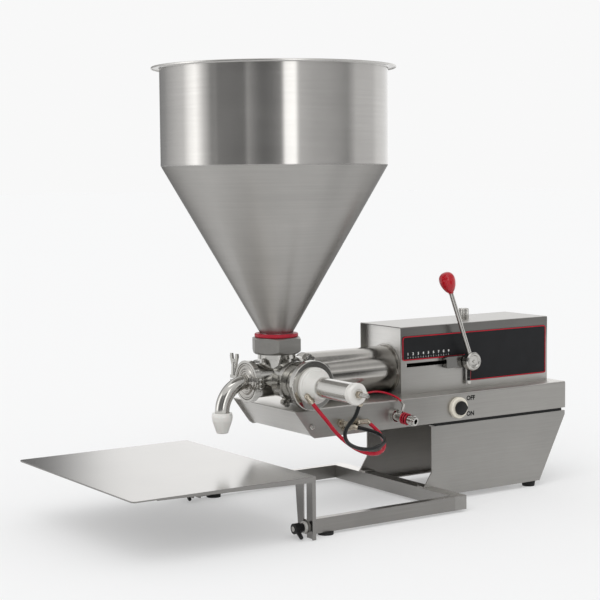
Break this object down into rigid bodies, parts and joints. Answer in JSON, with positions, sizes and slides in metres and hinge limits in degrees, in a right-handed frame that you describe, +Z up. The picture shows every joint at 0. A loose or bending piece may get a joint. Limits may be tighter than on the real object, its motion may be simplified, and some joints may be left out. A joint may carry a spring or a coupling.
{
  "type": "food depositor",
  "caption": "Bench-top piston depositor: conical hopper on a spool valve, air-driven measuring cylinder, swan-neck spout and a height-set work plate.",
  "frame": {"origin": "on the table under the middle of the machine's bounding box", "axes": "+Z up, +X towards the rear of the machine (the spout and work plate are at -X), operator's side at -Y"},
  "size_m": [0.8918, 0.4352, 0.7035],
  "materials": {
    "hopper_steel": "satin",
    "valve_steel": "polished",
    "cylinder_steel": "polished",
    "sheet_steel": "brushed",
    "red_rubber": "matte",
    "white_plastic": "satin",
    "black_plastic": "satin",
    "red_plastic": "gloss",
    "brass": "nickel plated",
    "dark_label": "satin",
    "black_rubber": "matte",
    "red_tube": "gloss",
    "black_tube": "gloss",
    "alloy": "satin",
    "cream_plastic": "satin"
  },
  "bodies": {
    "machine": {"valve_body": "valve_steel", "barrel_end_cap": "valve_steel", "bonnet": "valve_steel", "actuator_flange": "valve_steel", "spout_clamp": "valve_steel", "barrel_clamp": "valve_steel", "cylinder_clamp": "valve_steel", "product_cylinder": "cylinder_steel", "cylinder_ring": "cylinder_steel", "air_barrel": "cylinder_steel", "air_coupler": "cylinder_steel", "rod_bushing": "cylinder_steel", "fasteners": "cylinder_steel", "tray": "sheet_steel", "tray_front_panel": "sheet_steel", "box_cover": "sheet_steel", "box_end_panels": "sheet_steel", "pedestal_panel_near": "sheet_steel", "pedestal_panel_far": "sheet_steel", "pedestal_rear_plate": "sheet_steel", "frame_cross_bar": "sheet_steel", "frame_arms": "sheet_steel", "coupler_rings": "red_rubber", "actuator_cap": "white_plastic", "lever_washers": "white_plastic", "air_end_cap": "white_plastic", "air_fittings": "brass", "bulkhead_elbows": "brass", "label_plate": "dark_label", "rubber_pads": "black_rubber", "red_tube": "red_tube", "thin_tube": "red_tube", "black_tube": "black_tube", "drive_cylinder": "alloy", "control_valves": "alloy", "selector_bezel": "cream_plastic"},
    "hopper": {"hopper_barrel": "hopper_steel", "hopper_cone": "hopper_steel", "hopper_outlet": "hopper_steel", "hopper_gasket": "red_rubber"},
    "union_nut": {"union_nut": "valve_steel"},
    "spool": {"valve_spool": "valve_steel"},
    "piston": {"product_piston": "white_plastic", "piston_seals": "black_rubber", "piston_rod": "cylinder_steel", "drive_piston": "alloy"},
    "portion_block": {"slide_block": "cylinder_steel", "portion_sensor": "black_plastic"},
    "lock_lever": {"lever_hub": "cylinder_steel", "lever_rod": "cylinder_steel", "lever_ball": "red_plastic"},
    "speed_knob": {"speed_knob": "cylinder_steel"},
    "selector": {"selector_knob": "black_plastic"},
    "spout": {"spout": "valve_steel"},
    "nozzle": {"nozzle": "white_plastic"},
    "spout_wing_nut": {"spout_wing_nut": "valve_steel"},
    "barrel_wing_nut": {"barrel_wing_nut": "valve_steel"},
    "work_plate": {"work_plate": "sheet_steel"},
    "near_clamp_lever": {"clamp_lever_near": "black_plastic"},
    "far_clamp_lever": {"clamp_lever_far": "black_plastic"}
  },
  "joints": [
    {"name": "hopper_lift", "type": "slide", "parent": "machine", "child": "hopper", "axis": [0, 0, 1], "range_m": [0, 0.12]},
    {"name": "union_nut_turn", "type": "hinge", "parent": "hopper", "child": "union_nut", "pos_m": [-0.0879, 0.02665, 0.265], "axis": [0, 0, 1], "continuous": true},
    {"name": "spool_stroke", "type": "slide", "parent": "machine", "child": "spool", "axis": [0, 1, 0], "range_m": [0, 0.028]},
    {"name": "piston_stroke", "type": "slide", "parent": "machine", "child": "piston", "axis": [1, 0, 0], "range_m": [0, 0.09]},
    {"name": "portion_slide", "type": "slide", "parent": "machine", "child": "portion_block", "axis": [1, 0, 0], "range_m": [-0.073, 0.012]},
    {"name": "lever_lock", "type": "hinge", "parent": "portion_block", "child": "lock_lever", "pos_m": [0.2501, -0.04815, 0.2244], "axis": [0, 1, 0], "range_deg": [-35, 35]},
    {"name": "speed_turn", "type": "hinge", "parent": "machine", "child": "speed_knob", "pos_m": [0.2946, 0.02665, 0.2877], "axis": [0, 0, 1], "range_deg": [0, 270]},
    {"name": "selector_turn", "type": "hinge", "parent": "machine", "child": "selector", "pos_m": [0.2061, -0.07165, 0.1527], "axis": [0, -1, 0], "range_deg": [-35, 35]},
    {"name": "spout_swivel", "type": "hinge", "parent": "machine", "child": "spout", "pos_m": [-0.1412, 0.02665, 0.215], "axis": [1, 0, 0], "range_deg": [-60, 60]},
    {"name": "nozzle_pull", "type": "slide", "parent": "spout", "child": "nozzle", "axis": [0, 0, -1], "range_m": [0, 0.03]},
    {"name": "spout_nut_turn", "type": "hinge", "parent": "machine", "child": "spout_wing_nut", "pos_m": [-0.14105, 0.06765, 0.23], "axis": [0, 0, 1], "continuous": true},
    {"name": "barrel_nut_turn", "type": "hinge", "parent": "machine", "child": "barrel_wing_nut", "pos_m": [-0.06438, -0.0295, 0.24859], "axis": [0.8192, 0, -0.5736], "continuous": true},
    {"name": "work_plate_lift", "type": "slide", "parent": "machine", "child": "work_plate", "axis": [0, 0, 1], "range_m": [0, 0.035]},
    {"name": "near_lever_turn", "type": "hinge", "parent": "machine", "child": "near_clamp_lever", "pos_m": [-0.1579, -0.13835, 0.0155], "axis": [-1, 0, 0], "range_deg": [0, 150]},
    {"name": "far_lever_turn", "type": "hinge", "parent": "machine", "child": "far_clamp_lever", "pos_m": [-0.1579, 0.19165, 0.0155], "axis": [-1, 0, 0], "range_deg": [0, 150]}
  ]
}
